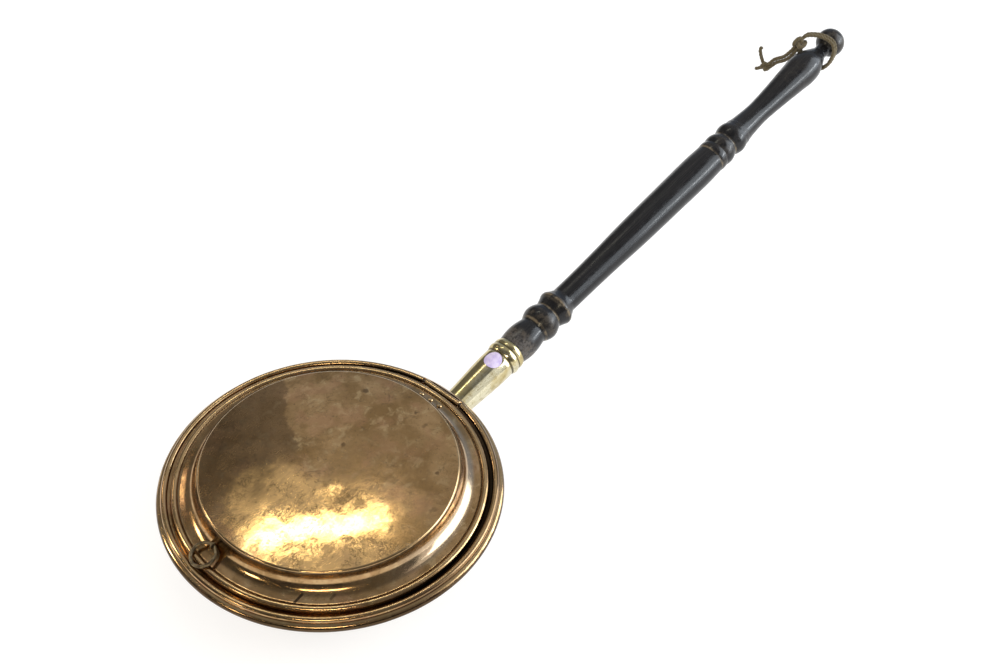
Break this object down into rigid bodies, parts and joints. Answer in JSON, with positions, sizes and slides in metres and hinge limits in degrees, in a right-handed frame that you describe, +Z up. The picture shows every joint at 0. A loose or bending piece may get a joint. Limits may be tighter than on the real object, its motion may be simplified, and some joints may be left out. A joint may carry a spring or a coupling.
{
  "type": "bed warming pan",
  "caption": "Copper bed warming pan with a hinged domed lid and lift ring, a riveted brass socket and a long turned ebonised handle with a hanging twine.",
  "frame": {"origin": "centre of the pan's flat underside, where it stands", "axes": "+X along the handle, +Z up through the lid's crown, +Y to the handle's left seen from the pan"},
  "size_m": [0.9102, 0.3018, 0.1396],
  "materials": {
    "copper": "aged copper sheet, mottled brown patina, worn brighter on edges and crown",
    "brass": "aged polished brass, soft gloss",
    "iron": "dark drawn iron wire",
    "ebonised_wood": "ebonised hardwood, glossy polish worn brown on the beads",
    "twine": "twisted olive-brown hemp"
  },
  "bodies": {
    "pan": {"pan_bowl": "copper", "rim_wire": "iron", "handle_socket": "brass", "flange_rivet_1": "copper", "flange_rivet_2": "copper", "flange_rivet_3": "copper", "flange_rivet_4": "copper", "turned_handle": "ebonised_wood", "handle_pin": "iron", "twine_loop": "twine", "twine_return": "twine", "twine_knot": "twine", "twine_tail_a": "twine", "twine_tail_b": "twine", "twine_end_knot": "twine", "twine_end_up": "twine", "twine_end_down": "twine"},
    "lid": {"lid": "copper", "lid_wire": "iron", "hinge_strap": "copper", "hinge_rivet_1": "copper", "hinge_rivet_2": "copper", "hinge_rivet_3": "copper", "ring_staple": "brass"},
    "lift_ring": {"lift_ring": "brass"}
  },
  "joints": [
    {"name": "lid_hinge", "type": "hinge", "parent": "pan", "child": "lid", "pos_m": [0.14183, 0, 0.06], "axis": [0, 1, 0], "range_deg": [0, 145]},
    {"name": "ring_swing", "type": "hinge", "parent": "lid", "child": "lift_ring", "pos_m": [-0.1182, 0.01661, 0.07134], "axis": [0.1392, 0.9903, 0], "range_deg": [0, 120]}
  ]
}
